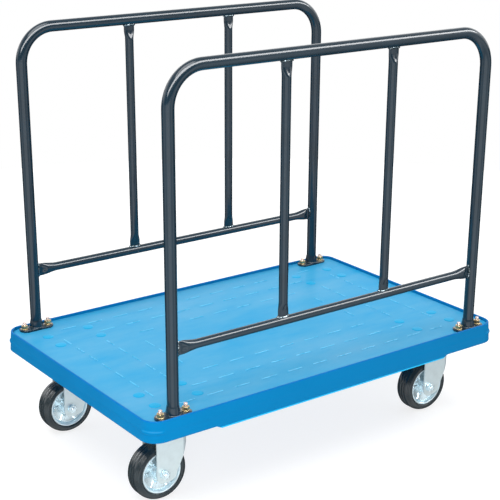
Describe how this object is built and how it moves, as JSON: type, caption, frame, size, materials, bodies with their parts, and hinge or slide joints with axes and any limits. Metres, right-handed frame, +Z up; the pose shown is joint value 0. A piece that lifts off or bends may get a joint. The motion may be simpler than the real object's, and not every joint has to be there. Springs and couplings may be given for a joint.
{
  "type": "platform cart",
  "caption": "Platform cart: ribbed resin deck with a raised rim, a tubular hoop with lower rail and upright bars along each long side, swivel casters at one end, fixed ones at the other.",
  "frame": {"origin": "on the floor under the middle of the deck", "axes": "+Z up, X along the deck with the fixed casters at +X and the swivel casters at -X, Y across it"},
  "size_m": [0.9, 0.5956, 0.8666],
  "materials": {
    "blue_resin": "moulded, satin",
    "slate_paint": "powder coat, glossy",
    "gold_zinc": "yellow zinc plating",
    "bright_zinc": "bright zinc plating",
    "black_rubber": "matt"
  },
  "bodies": {
    "cart": {"deck": "blue_resin", "front_hoop": "slate_paint", "front_lower_rail": "slate_paint", "front_bar_left": "slate_paint", "front_bar_right": "slate_paint", "back_hoop": "slate_paint", "back_lower_rail": "slate_paint", "back_bar_left": "slate_paint", "back_bar_right": "slate_paint", "front_left_foot": "slate_paint", "foot_bolt_front_left_a": "gold_zinc", "foot_nut_front_left_a": "gold_zinc", "foot_bolt_front_left_b": "gold_zinc", "foot_nut_front_left_b": "gold_zinc", "front_right_foot": "slate_paint", "foot_bolt_front_right_a": "gold_zinc", "foot_nut_front_right_a": "gold_zinc", "foot_bolt_front_right_b": "gold_zinc", "foot_nut_front_right_b": "gold_zinc", "back_left_foot": "slate_paint", "foot_bolt_back_left_a": "gold_zinc", "foot_nut_back_left_a": "gold_zinc", "foot_bolt_back_left_b": "gold_zinc", "foot_nut_back_left_b": "gold_zinc", "back_right_foot": "slate_paint", "foot_bolt_back_right_a": "gold_zinc", "foot_nut_back_right_a": "gold_zinc", "foot_bolt_back_right_b": "gold_zinc", "foot_nut_back_right_b": "gold_zinc", "caster_plate_front_left": "bright_zinc", "fork_pin_front_left": "bright_zinc", "swivel_race_front_left": "bright_zinc", "caster_plate_front_right": "bright_zinc", "fork_pin_front_right": "bright_zinc", "fork_front_right": "bright_zinc", "axle_front_right": "bright_zinc", "caster_plate_back_left": "bright_zinc", "fork_pin_back_left": "bright_zinc", "swivel_race_back_left": "bright_zinc", "caster_plate_back_right": "bright_zinc", "fork_pin_back_right": "bright_zinc", "fork_back_right": "bright_zinc", "axle_back_right": "bright_zinc"},
    "swivel_front_left": {"fork_front_left": "bright_zinc", "axle_front_left": "bright_zinc"},
    "wheel_front_left": {"wheel_disc_front_left": "bright_zinc", "tyre_front_left": "black_rubber", "hub_bush_front_left": "bright_zinc"},
    "wheel_front_right": {"wheel_disc_front_right": "bright_zinc", "tyre_front_right": "black_rubber", "hub_bush_front_right": "bright_zinc"},
    "swivel_back_left": {"fork_back_left": "bright_zinc", "axle_back_left": "bright_zinc"},
    "wheel_back_left": {"wheel_disc_back_left": "bright_zinc", "tyre_back_left": "black_rubber", "hub_bush_back_left": "bright_zinc"},
    "wheel_back_right": {"wheel_disc_back_right": "bright_zinc", "tyre_back_right": "black_rubber", "hub_bush_back_right": "bright_zinc"}
  },
  "joints": [
    {"name": "swivel_front_left", "type": "hinge", "parent": "cart", "child": "swivel_front_left", "pos_m": [-0.338, -0.185, 0.153], "axis": [0, 0, 1], "continuous": true},
    {"name": "wheel_spin_front_left", "type": "hinge", "parent": "swivel_front_left", "child": "wheel_front_left", "pos_m": [-0.368, -0.185, 0.05825], "axis": [0, 1, 0], "continuous": true},
    {"name": "wheel_spin_front_right", "type": "hinge", "parent": "cart", "child": "wheel_front_right", "pos_m": [0.338, -0.185, 0.05825], "axis": [0, 1, 0], "continuous": true},
    {"name": "swivel_back_left", "type": "hinge", "parent": "cart", "child": "swivel_back_left", "pos_m": [-0.338, 0.185, 0.153], "axis": [0, 0, 1], "continuous": true},
    {"name": "wheel_spin_back_left", "type": "hinge", "parent": "swivel_back_left", "child": "wheel_back_left", "pos_m": [-0.368, 0.185, 0.05825], "axis": [0, 1, 0], "continuous": true},
    {"name": "wheel_spin_back_right", "type": "hinge", "parent": "cart", "child": "wheel_back_right", "pos_m": [0.338, 0.185, 0.05825], "axis": [0, 1, 0], "continuous": true}
  ]
}
